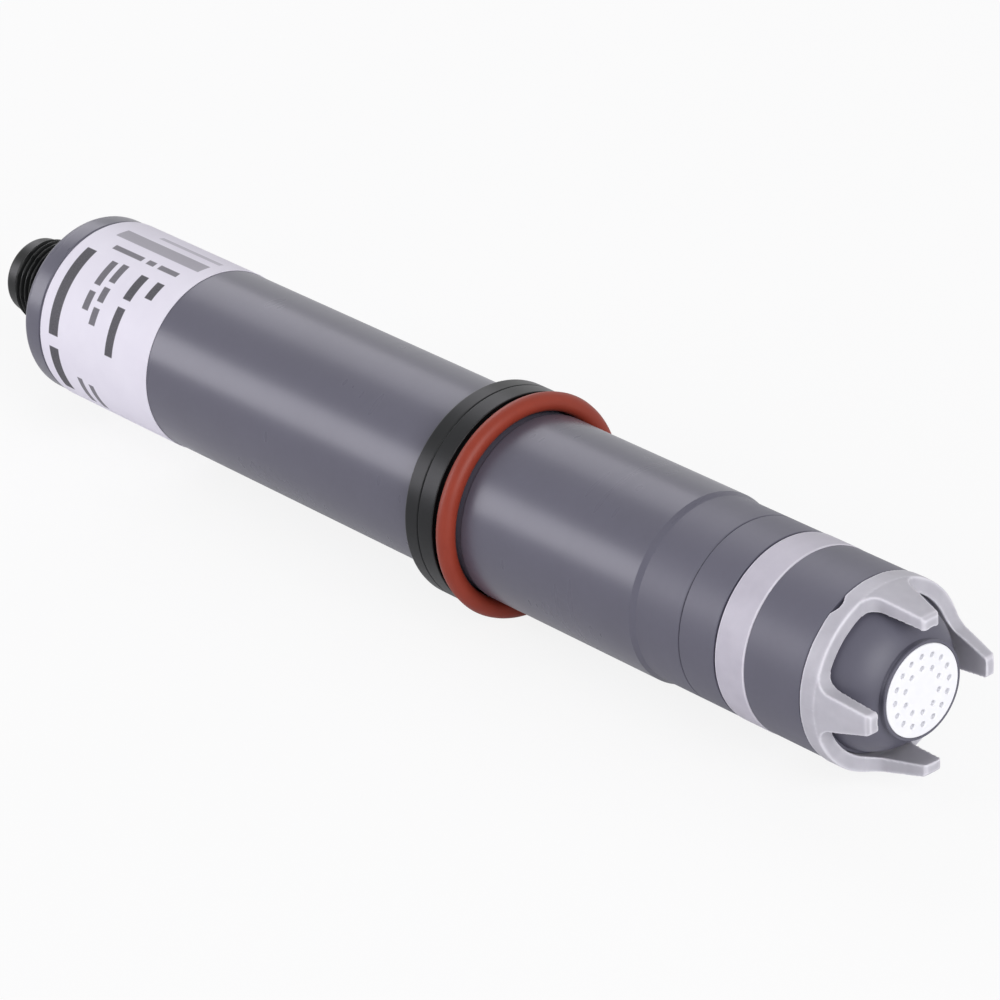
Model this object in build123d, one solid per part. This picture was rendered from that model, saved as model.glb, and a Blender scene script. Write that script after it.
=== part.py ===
from build123d import *
import os

# A membrane-covered chlorine sensor probe, in millimetres.
# +X runs along the probe's axis from the plug to the membrane, and +Z is up.
# The origin is on the axis just in front of the seat seal, where the plain shaft for the fitting begins.

# Shaft: the plain cylinder that the fitting holds
shaft_radius = 12.5
housing_wall = 2.2
shaft_rear_length = 78.8
shaft_front_length = 31.8
shoulder_length = 0.8
shoulder_step = 0.35
neck_length = 7.5
edge_break = 0.2

# Collar: clamp ring, slip ring and seat seal
collar_height = 2.0
clamp_ring_length = 2.5
slip_ring_length = 3.35
seat_seal_section = 2.5
seat_seal_setback = 0.1
ring_seat_depth = 0.2
clamp_groove_depth = 1.2
clamp_lip_setback = 0.5
clamp_split = 2.0
clamp_split_angle = 225.0
collar_edge = 0.25
collar_front_edge = 0.5

# End cap
flange_length = 3.8
flange_round = 1.1
spigot_length = 10.0
spigot_seal_setback = 4.0
seam_gap = 0.1

# Plug
plug_thread_radius = 6.0
plug_thread_length = 11.2
thread_relief_length = 0.4
thread_relief_depth = 0.25
plug_nose_step = 0.6
plug_nose_length = 2.1
plug_nose_edge = 0.5
socket_wall = 1.15
socket_depth = 8.4
inner_flange_share = 1 / 3
inner_flange_length = 1.5
insert_tail_length = 1.5
key_width = 1.2
key_height = 0.6
pin_radius = 0.5
pin_circle_setback = 1.5
pin_recess = 1.4
pin_tip_edge = 0.2
outer_pins = 4

# Label
label_thickness = 0.12
label_length = 23.2
label_setback = 0.4

# Boards and what they carry
board_thickness = 1.6
contact_board_gap = 1.5
circuit_board_gap = 1.8
board_slot_depth = 4.0
module_size = (14.0, 9.0, 6.0)
module_setback = 12.0
converter_size = (7.0, 5.0, 1.5)
converter_setback = 34.0
amplifier_size = (5.0, 4.0, 1.5)
amplifier_setback = 60.0
capacitor_radius = 2.5
capacitor_height = 5.4
capacitor_setback = 47.0
lead_radius = 0.4
lead_over_board = 6.0

# Electrode carrier
carrier_plug_length = 26.0
carrier_seal_setback = 8.0
land_length = 1.9
cap_thread_step = 0.4
cap_thread_length = 4.8
thread_end_edge = 0.5
finger_gap = 0.75
sleeve_wall = 0.7
sleeve_setback = 5.2
sleeve_length = 12.0
finger_round = 1.5
working_electrode_radius = 1.7
working_electrode_length = 2.5

# Membrane cap
cap_body_length = 20.8
cap_rim_wall = 1.15
seal_pocket_spare = 0.3
chamber_setback = 3.2
vent_band_setback = 6.1
vent_band_length = 5.3
vent_band_thickness = 1.0
vent_band_proud = 0.06
vent_band_rear_gap = 0.3
vent_band_edge = 0.2
vent_hole_radius = 0.6
vent_hole_angle = 150.0
guard_seat_length = 1.8
cone_length = 5.55
cone_start_step = 0.35
cone_bulge = 0.55
tip_neck_radius = 6.15
tip_lip_flare = 0.2
tip_lip_wall = 0.35
tip_lip_length = 0.5
tip_neck_length = 0.6
cone_wall = 1.6

# Membrane stack
gasket_width = 0.95
gasket_thickness = 0.6
membrane_thickness = 0.2
cover_thickness = 0.9
cover_proud = 0.05
cover_hole_radius = 0.35
cover_rim = 1.45
cover_ring_pitch = 1.6
cover_outer_holes = 16
cover_inner_holes = 10
finger_to_membrane = 0.1

# Guard
guard_proud = 0.15
guard_wall = 2.04
guard_ring_length = 2.6
guard_front_edge = 0.15
prongs = 4
prong_length = 7.3
prong_lean = 1.55
prong_tip_thickness = 1.75
prong_tip_edge = 0.5
prong_root_width = 5.6
prong_tip_width = 2.6
prong_root_round = 1.6
prong_root_land = 0.5
prong_tip_round = 0.4
notch_radius = 1.7
notch_depth = 0.6
notch_angle = 28.0
notches = 2

# Clearances
press_gap = 0.02
seat_gap = 0.05
running_gap = 0.06
seal_section = 1.5
tool_reach = 1.0

# Stations along the axis
seal_rear = -seat_seal_setback - seat_seal_section
slip_front = seal_rear - seat_gap
slip_rear = slip_front - slip_ring_length
clamp_front = slip_rear - seat_gap
clamp_rear = clamp_front - clamp_ring_length
groove_rear = clamp_rear + clamp_lip_setback
groove_front = clamp_front - clamp_lip_setback
housing_rear = clamp_rear - shaft_rear_length
flange_rear = housing_rear - flange_length
thread_rear = flange_rear - plug_thread_length
plug_rear = thread_rear - plug_nose_length
spigot_front = housing_rear + spigot_length
insert_face = plug_rear + socket_depth
insert_front = spigot_front + inner_flange_length + insert_tail_length
contact_board_front = insert_front + board_thickness
housing_front = shaft_front_length + neck_length
carrier_rear = housing_front - carrier_plug_length
board_front = carrier_rear + board_slot_depth
land_front = housing_front + land_length
carrier_thread_front = land_front + cap_thread_length
cap_rear = housing_front + seam_gap
guard_step = housing_front + cap_body_length
guard_rear = guard_step + seam_gap
guard_front = guard_rear + guard_ring_length
cap_front = guard_front + cone_length
prong_front = guard_front + prong_length
band_groove_rear = housing_front + vent_band_setback
band_groove_front = band_groove_rear + vent_band_length
cover_front = cap_front + cover_proud
cover_rear = cover_front - cover_thickness
membrane_rear = cover_rear - membrane_thickness
gasket_rear = membrane_rear - gasket_thickness
finger_front = membrane_rear - finger_to_membrane
sleeve_front = finger_front - sleeve_setback
sleeve_rear = sleeve_front - sleeve_length
chamber_front = guard_step - chamber_setback

# Radii that follow
neck_radius = shaft_radius - shoulder_step
collar_radius = shaft_radius + collar_height
bore_radius = shaft_radius - housing_wall
plug_radius = bore_radius - press_gap
seal_floor_radius = bore_radius - press_gap - seal_section
plug_nose_radius = plug_thread_radius - plug_nose_step
socket_radius = plug_nose_radius - socket_wall
pin_circle_radius = socket_radius - pin_circle_setback
plug_barrel_radius = plug_thread_radius - thread_relief_depth
plug_pocket_radius = plug_barrel_radius + seal_section + 2 * seat_gap
inner_flange_radius = plug_pocket_radius + inner_flange_share * (bore_radius - plug_pocket_radius)
contact_board_radius = bore_radius - contact_board_gap
band_groove_radius = neck_radius + vent_band_proud - vent_band_thickness
seal_pocket_radius = neck_radius - cap_rim_wall
land_radius = seal_pocket_radius - seal_section - 2 * seat_gap
cap_thread_radius = land_radius - cap_thread_step
cap_bore_radius = cap_thread_radius + running_gap
guard_radius = neck_radius + guard_proud
guard_seat_radius = guard_radius - guard_wall - running_gap
prong_tip_outer_radius = guard_radius - prong_lean
prong_tip_inner_radius = prong_tip_outer_radius - prong_tip_thickness
tip_lip_radius = tip_neck_radius + tip_lip_flare
membrane_radius = tip_lip_radius - tip_lip_wall - seat_gap
membrane_port_radius = membrane_radius - gasket_width
finger_radius = membrane_port_radius - finger_gap
finger_core_radius = finger_radius - sleeve_wall
cover_outer_ring_radius = membrane_radius - cover_rim
cover_inner_ring_radius = cover_outer_ring_radius - cover_ring_pitch
board_top = board_thickness / 2
lead_height = board_top + lead_radius


def turned(points):
    """A solid of revolution about the probe's axis from an outline of (station, radius) points."""
    return revolve(make_face(Polyline(*points, close=True)), axis=Axis.X)


def tube(rear, front, inner, outer):
    """A plain ring or tube between two stations."""
    return turned([(rear, inner), (rear, outer), (front, outer), (front, inner)])


def rod(rear, front, radius, y=0.0, z=0.0):
    """A round bar parallel to the axis."""
    bar = Cylinder(radius, front - rear, align=(Align.CENTER, Align.CENTER, Align.MIN))
    return Pos(rear, y, z) * Rot(0, 90, 0) * bar


def seal_ring(rear, inner, section):
    """A ring of round section whose rear lies at a station."""
    ring = Torus(inner + section / 2, section / 2)
    return Pos(rear + section / 2, 0, 0) * Rot(0, 90, 0) * ring


def around(angle):
    """A turn about the axis, counted from +Z towards -Y."""
    return Rot(angle, 0, 0)


def round_edge(solid, station, radius, size):
    """The solid with its circular edge at a station and radius rounded."""
    edges = [
        edge
        for edge in solid.edges().filter_by(GeomType.CIRCLE)
        if abs(edge.radius - radius) < 1e-3 and abs(edge.arc_center.X - station) < 1e-3
    ]
    return fillet(edges, size)


def board_part(size, setback):
    """A block on the long board's upper face, at a distance from its rear end."""
    length, width, height = size
    block = Box(length, width, height, align=(Align.MIN, Align.CENTER, Align.MIN))
    return Pos(contact_board_front + setback, 0, board_top) * block


def seal_groove(front_edge, outer):
    """The four outline points of a groove for a seal, from its rear to its front."""
    rear_edge = front_edge - seal_section - 2 * seat_gap
    return [
        (rear_edge, outer),
        (rear_edge, seal_floor_radius - seat_gap),
        (front_edge, seal_floor_radius - seat_gap),
        (front_edge, outer),
    ]


# Plug
def make_connector_shell():
    outline = [
        (plug_rear, socket_radius),
        (plug_rear, plug_nose_radius - plug_nose_edge),
        (plug_rear + plug_nose_edge, plug_nose_radius),
        (thread_rear, plug_nose_radius),
        (thread_rear + plug_nose_step, plug_thread_radius),
        (flange_rear - thread_relief_length, plug_thread_radius),
        (flange_rear - thread_relief_length, plug_barrel_radius),
        (spigot_front, plug_barrel_radius),
        (spigot_front, inner_flange_radius),
        (spigot_front + inner_flange_length, inner_flange_radius),
        (spigot_front + inner_flange_length, socket_radius),
    ]
    key = Box(
        insert_face - plug_rear - pin_recess,
        key_width,
        2 * key_height,
        align=(Align.MIN, Align.CENTER, Align.CENTER),
    )
    return turned(outline) + Pos(plug_rear + pin_recess, 0, socket_radius) * key


def pin_places():
    """The contacts' centres: four on a circle and one on the axis."""
    ring = [
        Vector(0, pin_circle_radius, 0).rotate(Axis.X, (index + 0.5) * 360 / outer_pins)
        for index in range(outer_pins)
    ]
    return ring + [Vector(0, 0, 0)]


def drill_pins(solid):
    """The solid with a hole for each contact."""
    for place in pin_places():
        solid -= rod(
            insert_face - tool_reach,
            contact_board_front + tool_reach,
            pin_radius + press_gap,
            place.Y,
            place.Z,
        )
    return solid


def make_connector_insert():
    return drill_pins(rod(insert_face, insert_front, socket_radius - press_gap))


def make_contact_pin(place):
    pin = rod(plug_rear + pin_recess, contact_board_front, pin_radius, place.Y, place.Z)
    tip = pin.faces().sort_by(Axis.X)[0]
    return fillet(tip.edges(), pin_tip_edge)


def make_connector_seal():
    return seal_ring(spigot_front - seal_section - seat_gap, plug_barrel_radius + seat_gap, seal_section)


# Housing
def make_end_cap():
    bore = plug_barrel_radius + press_gap
    pocket_floor = spigot_front - seal_section - 2 * seat_gap
    outline = [
        (flange_rear, bore),
        (flange_rear, shaft_radius),
        (housing_rear - seam_gap - edge_break, shaft_radius),
        (housing_rear - seam_gap, shaft_radius - edge_break),
        (housing_rear - seam_gap, plug_radius),
        *seal_groove(spigot_front - spigot_seal_setback, plug_radius),
        (spigot_front, plug_radius),
        (spigot_front, plug_pocket_radius),
        (pocket_floor, plug_pocket_radius),
        (pocket_floor, bore),
    ]
    return round_edge(turned(outline), flange_rear, shaft_radius, flange_round)


def make_end_cap_seal():
    groove_front = spigot_front - spigot_seal_setback
    return seal_ring(groove_front - seal_section - seat_gap, seal_floor_radius, seal_section)


def make_housing():
    groove_floor = shaft_radius - clamp_groove_depth
    ring_seat_radius = shaft_radius - ring_seat_depth
    outline = [
        (housing_rear, bore_radius),
        (housing_rear, shaft_radius - edge_break),
        (housing_rear + edge_break, shaft_radius),
        (groove_rear, shaft_radius),
        (groove_rear, groove_floor),
        (groove_front, groove_floor),
        (groove_front, shaft_radius),
        (slip_rear, shaft_radius),
        (slip_rear, ring_seat_radius),
        (0, ring_seat_radius),
        (0, shaft_radius),
        (shaft_front_length, shaft_radius),
        (shaft_front_length + shoulder_length, neck_radius),
        (housing_front - edge_break, neck_radius),
        (housing_front, neck_radius - edge_break),
        (housing_front, bore_radius),
    ]
    return turned(outline)


def make_housing_label():
    rear = housing_rear + label_setback
    return tube(rear, rear + label_length, shaft_radius + press_gap, shaft_radius + label_thickness)


# Collar
def make_clamp_ring():
    inner = shaft_radius + seat_gap
    lip = shaft_radius - clamp_groove_depth + seat_gap
    outline = [
        (clamp_rear, inner),
        (clamp_rear, collar_radius - collar_edge),
        (clamp_rear + collar_edge, collar_radius),
        (clamp_front - collar_edge, collar_radius),
        (clamp_front, collar_radius - collar_edge),
        (clamp_front, inner),
        (groove_front - seat_gap, inner),
        (groove_front - seat_gap, lip),
        (groove_rear + seat_gap, lip),
        (groove_rear + seat_gap, inner),
    ]
    split = Pos(clamp_rear, 0, 0) * Box(
        2 * clamp_ring_length,
        clamp_split,
        2 * collar_radius,
        align=(Align.CENTER, Align.CENTER, Align.MIN),
    )
    return turned(outline) - around(clamp_split_angle) * split


def make_slip_ring():
    inner = shaft_radius + running_gap
    outline = [
        (slip_rear, inner),
        (slip_rear, collar_radius - collar_edge),
        (slip_rear + collar_edge, collar_radius),
        (slip_front - collar_front_edge, collar_radius),
        (slip_front, collar_radius - collar_front_edge),
        (slip_front, inner),
    ]
    return turned(outline)


def make_seat_seal():
    return seal_ring(seal_rear, shaft_radius + running_gap, seat_seal_section)


# Boards
def make_contact_board():
    return drill_pins(rod(insert_front, contact_board_front, contact_board_radius))


def make_circuit_board():
    length = board_front - contact_board_front
    width = 2 * (bore_radius - circuit_board_gap)
    board = Box(length, width, board_thickness, align=(Align.MIN, Align.CENTER, Align.CENTER))
    return Pos(contact_board_front, 0, 0) * board


def make_filter_capacitor():
    can = Cylinder(capacitor_radius, capacitor_height, align=(Align.CENTER, Align.CENTER, Align.MIN))
    return Pos(contact_board_front + capacitor_setback, 0, board_top) * can


def working_lead_path(radius):
    """A straight lead from over the board to the working electrode."""
    return rod(board_front - lead_over_board, finger_front - working_electrode_length, radius, 0, lead_height)


def reference_lead_path(radius):
    """A lead from under the board to the middle of the reference sleeve, with one bend."""
    station = sleeve_rear + sleeve_length / 2
    length = finger_core_radius - lead_height
    along = rod(board_front - lead_over_board, station + radius, radius, 0, -lead_height)
    across = Cylinder(radius, length, align=(Align.CENTER, Align.CENTER, Align.MAX))
    return along + Pos(station, 0, -lead_height) * across


# Electrode carrier
def make_electrode_carrier():
    electrode_floor = finger_front - working_electrode_length
    outline = [
        (carrier_rear, 0),
        (carrier_rear, plug_radius),
        *seal_groove(housing_front - carrier_seal_setback, plug_radius),
        (housing_front, plug_radius),
        (housing_front, land_radius),
        (land_front, land_radius),
        (land_front, cap_thread_radius),
        (carrier_thread_front - thread_end_edge, cap_thread_radius),
        (carrier_thread_front, cap_thread_radius - thread_end_edge),
        (carrier_thread_front, finger_radius),
        (sleeve_rear, finger_radius),
        (sleeve_rear, finger_core_radius),
        (sleeve_front, finger_core_radius),
        (sleeve_front, finger_radius),
        (finger_front, finger_radius),
        (finger_front, working_electrode_radius + press_gap),
        (electrode_floor, working_electrode_radius + press_gap),
        (electrode_floor, 0),
    ]
    carrier = round_edge(turned(outline), finger_front, finger_radius, finger_round)
    slot = Box(
        2 * board_slot_depth,
        2 * bore_radius,
        board_thickness + 2 * press_gap,
    )
    carrier -= Pos(carrier_rear, 0, 0) * slot
    carrier -= working_lead_path(lead_radius + press_gap)
    return carrier - reference_lead_path(lead_radius + press_gap)


def make_carrier_seal():
    groove_front = housing_front - carrier_seal_setback
    return seal_ring(groove_front - seal_section - seat_gap, seal_floor_radius, seal_section)


def make_reference_electrode():
    inner = finger_core_radius + press_gap
    return tube(sleeve_rear + press_gap, sleeve_front - press_gap, inner, finger_radius)


def make_working_electrode():
    return rod(finger_front - working_electrode_length, finger_front, working_electrode_radius)


# Membrane cap
def make_membrane_cap():
    pocket_floor = land_front + seal_pocket_spare
    cone_start = guard_seat_radius - cone_start_step
    neck_rear = cap_front - tip_lip_length - tip_neck_length
    seat_front = guard_step + guard_seat_length
    port_rear = gasket_rear - cone_wall
    middle = (
        (seat_front + neck_rear) / 2 + cone_bulge,
        (cone_start + tip_neck_radius) / 2 + cone_bulge,
    )
    barrel = Polyline(
        (cap_rear, seal_pocket_radius),
        (cap_rear, neck_radius - edge_break),
        (cap_rear + edge_break, neck_radius),
        (band_groove_rear, neck_radius),
        (band_groove_rear, band_groove_radius),
        (band_groove_front, band_groove_radius),
        (band_groove_front, neck_radius),
        (guard_step, neck_radius),
        (guard_step, guard_seat_radius),
        (seat_front, guard_seat_radius),
        (seat_front, cone_start),
    )
    cone = ThreePointArc((seat_front, cone_start), middle, (neck_rear, tip_neck_radius))
    lip_and_inside = Polyline(
        (neck_rear, tip_neck_radius),
        (cap_front - tip_lip_length, tip_neck_radius),
        (cap_front - tip_lip_length / 2, tip_lip_radius),
        (cap_front, tip_lip_radius),
        (cap_front, membrane_radius + seat_gap),
        (gasket_rear, membrane_radius + seat_gap),
        (gasket_rear, membrane_port_radius),
        (port_rear, membrane_port_radius),
        (chamber_front, cap_bore_radius),
        (pocket_floor, cap_bore_radius),
        (pocket_floor, seal_pocket_radius),
        (cap_rear, seal_pocket_radius),
    )
    cap = revolve(make_face(barrel + cone + lip_and_inside), axis=Axis.X)
    hole = Cylinder(vent_hole_radius, neck_radius, align=(Align.CENTER, Align.CENTER, Align.MIN))
    station = (band_groove_rear + band_groove_front) / 2
    return cap - around(vent_hole_angle) * Pos(station, 0, 0) * hole


def make_cap_seal():
    return seal_ring(cap_rear, land_radius + seat_gap, seal_section)


def make_vent_band():
    rear = band_groove_rear + vent_band_rear_gap
    front = band_groove_front - seat_gap
    outer = neck_radius + vent_band_proud
    outline = [
        (rear, band_groove_radius + press_gap),
        (rear, outer - vent_band_edge),
        (rear + vent_band_edge, outer),
        (front - vent_band_edge, outer),
        (front, outer - vent_band_edge),
        (front, band_groove_radius + press_gap),
    ]
    return turned(outline)


# Membrane stack
def make_membrane_gasket():
    return tube(gasket_rear, membrane_rear, membrane_port_radius, membrane_radius)


def make_membrane():
    return rod(membrane_rear, cover_rear, membrane_radius)


def punch_ring(cover, ring_radius, count):
    """The cover with one ring of through holes."""
    for index in range(count):
        place = Vector(0, 0, ring_radius).rotate(Axis.X, index * 360 / count)
        cover -= rod(
            cover_rear - tool_reach,
            cover_front + tool_reach,
            cover_hole_radius,
            place.Y,
            place.Z,
        )
    return cover


def make_membrane_cover():
    cover = rod(cover_rear, cover_front, membrane_radius)
    cover = punch_ring(cover, cover_outer_ring_radius, cover_outer_holes)
    return punch_ring(cover, cover_inner_ring_radius, cover_inner_holes)


# Guard
def make_membrane_guard():
    inner = guard_seat_radius + running_gap
    ring = turned(
        [
            (guard_rear, inner),
            (guard_rear, guard_radius),
            (guard_front - guard_front_edge, guard_radius),
            (guard_front, guard_radius - guard_front_edge),
            (guard_front, inner),
        ]
    )
    notch = Cylinder(notch_radius, guard_radius + tool_reach, align=(Align.CENTER, Align.CENTER, Align.MIN))
    for index in range(notches):
        turn = around(notch_angle + index * 360 / notches)
        ring -= turn * Pos(guard_rear + notch_depth - notch_radius, 0, 0) * notch
    crown = turned(
        [
            (guard_front - guard_ring_length / 2, inner),
            (guard_front - guard_ring_length / 2, guard_radius - guard_front_edge),
            (guard_front, guard_radius - guard_front_edge),
            (prong_front - prong_tip_edge, prong_tip_outer_radius),
            (prong_front, prong_tip_outer_radius - prong_tip_edge),
            (prong_front, prong_tip_inner_radius),
            (guard_front, inner),
        ]
    )
    for index in range(prongs):
        ring += around(index * 360 / prongs) * make_prong_outline() & crown
    return ring


def make_prong_outline():
    """One prong seen from above, with its root round, as a block that reaches out from the axis."""
    foot = guard_front - guard_ring_length / 2
    taper = Polyline(
        (foot, -prong_root_width / 2),
        (guard_front, -prong_root_width / 2),
        (prong_front, -prong_tip_width / 2),
        (prong_front, prong_tip_width / 2),
        (guard_front, prong_root_width / 2),
        (foot, prong_root_width / 2),
        close=True,
    )
    base_width = prong_root_width + 2 * (prong_root_round + prong_root_land)
    base = Pos((foot + guard_front) / 2, 0) * Rectangle(guard_front - foot, base_width)
    shape = make_face(taper) + base
    roots = [
        corner
        for corner in shape.vertices()
        if abs(corner.X - guard_front) < 1e-3 and abs(abs(corner.Y) - prong_root_width / 2) < 1e-3
    ]
    shape = fillet(roots, prong_root_round)
    tips = [corner for corner in shape.vertices() if abs(corner.X - prong_front) < 1e-3]
    return extrude(fillet(tips, prong_tip_round), amount=guard_radius + tool_reach)


parts = {
    "connector_shell": make_connector_shell(),
    "connector_insert": make_connector_insert(),
    "connector_seal": make_connector_seal(),
    "end_cap": make_end_cap(),
    "end_cap_seal": make_end_cap_seal(),
    "housing": make_housing(),
    "housing_label": make_housing_label(),
    "clamp_ring": make_clamp_ring(),
    "slip_ring": make_slip_ring(),
    "seat_seal": make_seat_seal(),
    "contact_board": make_contact_board(),
    "circuit_board": make_circuit_board(),
    "isolation_module": board_part(module_size, module_setback),
    "converter_chip": board_part(converter_size, converter_setback),
    "amplifier_chip": board_part(amplifier_size, amplifier_setback),
    "filter_capacitor": make_filter_capacitor(),
    "working_lead": working_lead_path(lead_radius),
    "reference_lead": reference_lead_path(lead_radius),
    "electrode_carrier": make_electrode_carrier(),
    "carrier_seal": make_carrier_seal(),
    "reference_electrode": make_reference_electrode(),
    "working_electrode": make_working_electrode(),
    "membrane_cap": make_membrane_cap(),
    "cap_seal": make_cap_seal(),
    "vent_band": make_vent_band(),
    "membrane_gasket": make_membrane_gasket(),
    "membrane": make_membrane(),
    "membrane_cover": make_membrane_cover(),
    "membrane_guard": make_membrane_guard(),
}
for number, pin_place in enumerate(pin_places(), start=1):
    parts[f"contact_pin_{number}"] = make_contact_pin(pin_place)

os.makedirs("parts", exist_ok=True)
for name, solid in parts.items():
    export_step(solid, f"parts/{name}.step")
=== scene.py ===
import math

import bmesh
import bpy
import numpy as np
from mathutils import Matrix, Vector, noise


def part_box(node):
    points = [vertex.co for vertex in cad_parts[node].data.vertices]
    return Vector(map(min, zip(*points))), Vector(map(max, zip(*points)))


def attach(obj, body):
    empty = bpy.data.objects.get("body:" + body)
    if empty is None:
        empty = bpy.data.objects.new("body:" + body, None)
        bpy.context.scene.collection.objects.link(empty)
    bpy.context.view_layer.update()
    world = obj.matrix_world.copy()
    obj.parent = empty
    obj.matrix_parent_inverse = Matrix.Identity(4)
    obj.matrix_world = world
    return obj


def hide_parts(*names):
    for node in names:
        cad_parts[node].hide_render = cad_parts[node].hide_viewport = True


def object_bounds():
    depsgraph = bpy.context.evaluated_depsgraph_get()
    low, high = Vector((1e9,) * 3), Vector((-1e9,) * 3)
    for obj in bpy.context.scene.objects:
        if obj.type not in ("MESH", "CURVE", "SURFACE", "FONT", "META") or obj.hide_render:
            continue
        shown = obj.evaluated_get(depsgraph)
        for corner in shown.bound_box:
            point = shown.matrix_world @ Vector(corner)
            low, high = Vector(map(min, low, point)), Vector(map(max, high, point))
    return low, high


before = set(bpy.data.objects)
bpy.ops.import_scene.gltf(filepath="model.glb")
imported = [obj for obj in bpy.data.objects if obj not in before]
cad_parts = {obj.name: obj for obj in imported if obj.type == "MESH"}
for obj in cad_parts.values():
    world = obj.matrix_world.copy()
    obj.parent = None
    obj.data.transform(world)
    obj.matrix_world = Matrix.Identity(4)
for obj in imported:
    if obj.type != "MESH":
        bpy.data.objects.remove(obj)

# The looks of a membrane-covered chlorine sensor probe, in metres.
# +X runs along the axis from the plug to the membrane, and +Z is up.
# An angle about the axis is counted from +Z towards -Y.

cad_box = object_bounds()

MM = 0.001
UM = 0.000001
DEG = math.pi / 180


def rear_of(node):
    """The station of a node's rear end."""
    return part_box(node)[0].x


def front_of(node):
    """The station of a node's front end."""
    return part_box(node)[1].x


def radius_of(node):
    """The outer radius of a turned node."""
    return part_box(node)[1].z


# How finely pieces are turned, how near points are welded and at how many degrees shading breaks
PUNCH_TURNS = 20
SMALL_TURNS = 96
TURNS = 160
FINE_TURNS = 192
WELD = 0.5 * UM
CREASE = 32
THREAD_CREASE = 60
SOFT_CREASE = 80

# The attribute that marks the bent edges of soft mouldings, where their finish paints a highlight
EDGE = "edge"

# Sizes that the pieces share
shaft_radius = radius_of("housing")
neck_radius = radius_of("membrane_cap")
collar_radius = radius_of("slip_ring")
housing_rear, housing_front = rear_of("housing"), front_of("housing")
housing_bore = shaft_radius - 2.2 * MM
shoulder_rear = housing_front - 7.5 * MM
seam_gap = 0.1 * MM
seat_gap = 0.05 * MM
press_gap = 0.02 * MM
seal_section = 1.5 * MM
fine_edge = 0.06 * MM
soft_edge = 0.12 * MM
rim_edge = 0.15 * MM
seam_edge = 0.18 * MM


# Node trees


class Wire:
    """An output in a node tree. Sums of wires and numbers add the tree's Math nodes."""

    def __init__(self, board, socket):
        self.board = board
        self.socket = socket

    def other(self, name):
        """Another output of the same node."""
        return Wire(self.board, self.socket.node.outputs[name])

    def __add__(self, value):
        return self.board.maths("ADD", self, value)

    def __radd__(self, value):
        return self.board.maths("ADD", value, self)

    def __sub__(self, value):
        return self.board.maths("SUBTRACT", self, value)

    def __rsub__(self, value):
        return self.board.maths("SUBTRACT", value, self)

    def __mul__(self, value):
        return self.board.maths("MULTIPLY", self, value)

    def __rmul__(self, value):
        return self.board.maths("MULTIPLY", value, self)

    def __truediv__(self, value):
        return self.board.maths("DIVIDE", self, value)

    def __lt__(self, value):
        return self.board.maths("LESS_THAN", self, value)


class Board:
    """A node tree, of a material or of a shape."""

    def __init__(self, tree):
        self.tree = tree

    def node(self, kind, settings=None, sockets=None, take=0):
        """A node with its settings and its sockets' values or wires, given as one of its outputs."""
        made = self.tree.nodes.new(kind)
        for name, value in (settings or {}).items():
            setattr(made, name, value)
        for name, value in (sockets or {}).items():
            if isinstance(value, (list, tuple)) and value and isinstance(value[0], Wire):
                for wire in value:
                    self.tree.links.new(wire.socket, made.inputs[name])
            elif isinstance(value, Wire):
                self.tree.links.new(value.socket, made.inputs[name])
            else:
                made.inputs[name].default_value = value
        return Wire(self, made.outputs[take]) if made.outputs else made

    def maths(self, operation, *values):
        """A Math node on wires and numbers."""
        return self.node("ShaderNodeMath", {"operation": operation}, dict(enumerate(values)))

    def clamped(self, value):
        """A value held between 0 and 1."""
        return self.node("ShaderNodeClamp", {}, {"Value": value})


class Finish(Board):
    """A material whose parts are written out as sums."""

    def __init__(self, name):
        self.material = bpy.data.materials.new(name)
        self.material.use_nodes = True
        super().__init__(self.material.node_tree)
        self.tree.nodes.clear()
        self.place = self.node("ShaderNodeTexCoord", {}, {}, "Object")
        parts = self.node("ShaderNodeSeparateXYZ", {}, {0: self.place}, "X")
        self.x = parts
        self.y = parts.other("Y")
        self.z = parts.other("Z")

    def angle(self):
        """The angle about the probe's axis, in radians."""
        return self.maths("ARCTAN2", self.y * -1.0, self.z)

    def noise(self, grain, detail, stretch=None):
        """Smooth noise from 0 to 1 whose grains are about that size, in metres."""
        where = self.place
        if stretch is not None:
            where = self.node("ShaderNodeMapping", {}, {"Vector": where, "Scale": stretch})
        return self.node(
            "ShaderNodeTexNoise",
            {"noise_dimensions": "3D"},
            {"Vector": where, "Scale": 1.0 / grain, "Detail": detail, "Roughness": 0.55},
            "Fac",
        )

    def rings(self, grain, detail):
        """Noise that changes only along the axis, as a lathe tool leaves it."""
        return self.node(
            "ShaderNodeTexNoise",
            {"noise_dimensions": "1D"},
            {"W": self.x, "Scale": 1.0 / grain, "Detail": detail},
            "Fac",
        )

    def cells(self, grain):
        """The distance to the nearest of scattered points, as a share of their spacing."""
        return self.node("ShaderNodeTexVoronoi", {}, {"Vector": self.place, "Scale": 1.0 / grain}, "Distance")

    def mix(self, share, first, second):
        """A colour between two."""
        return self.node("ShaderNodeMix", {"data_type": "RGBA"}, {0: share, 6: first, 7: second}, 2)

    def between(self, value, low, high, soft):
        """1 where a value lies between two limits, with soft edges of that width."""
        rise = self.clamped((value - low) / soft + 0.5)
        fall = self.clamped((high - value) / soft + 0.5)
        return rise * fall

    def bump(self, height, depth, strength=1.0):
        """A normal from a height of 0 to 1 that stands for a depth in metres."""
        return self.node("ShaderNodeBump", {}, {"Height": height, "Distance": depth, "Strength": strength})

    def surface(self, **sockets):
        """The shader and the output. Socket names are written with _ for a space."""
        named = {name.replace("_", " "): value for name, value in sockets.items()}
        shader = self.node("ShaderNodeBsdfPrincipled", {}, named, "BSDF")
        self.node("ShaderNodeOutputMaterial", {}, {"Surface": shader})
        return self.material


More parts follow.
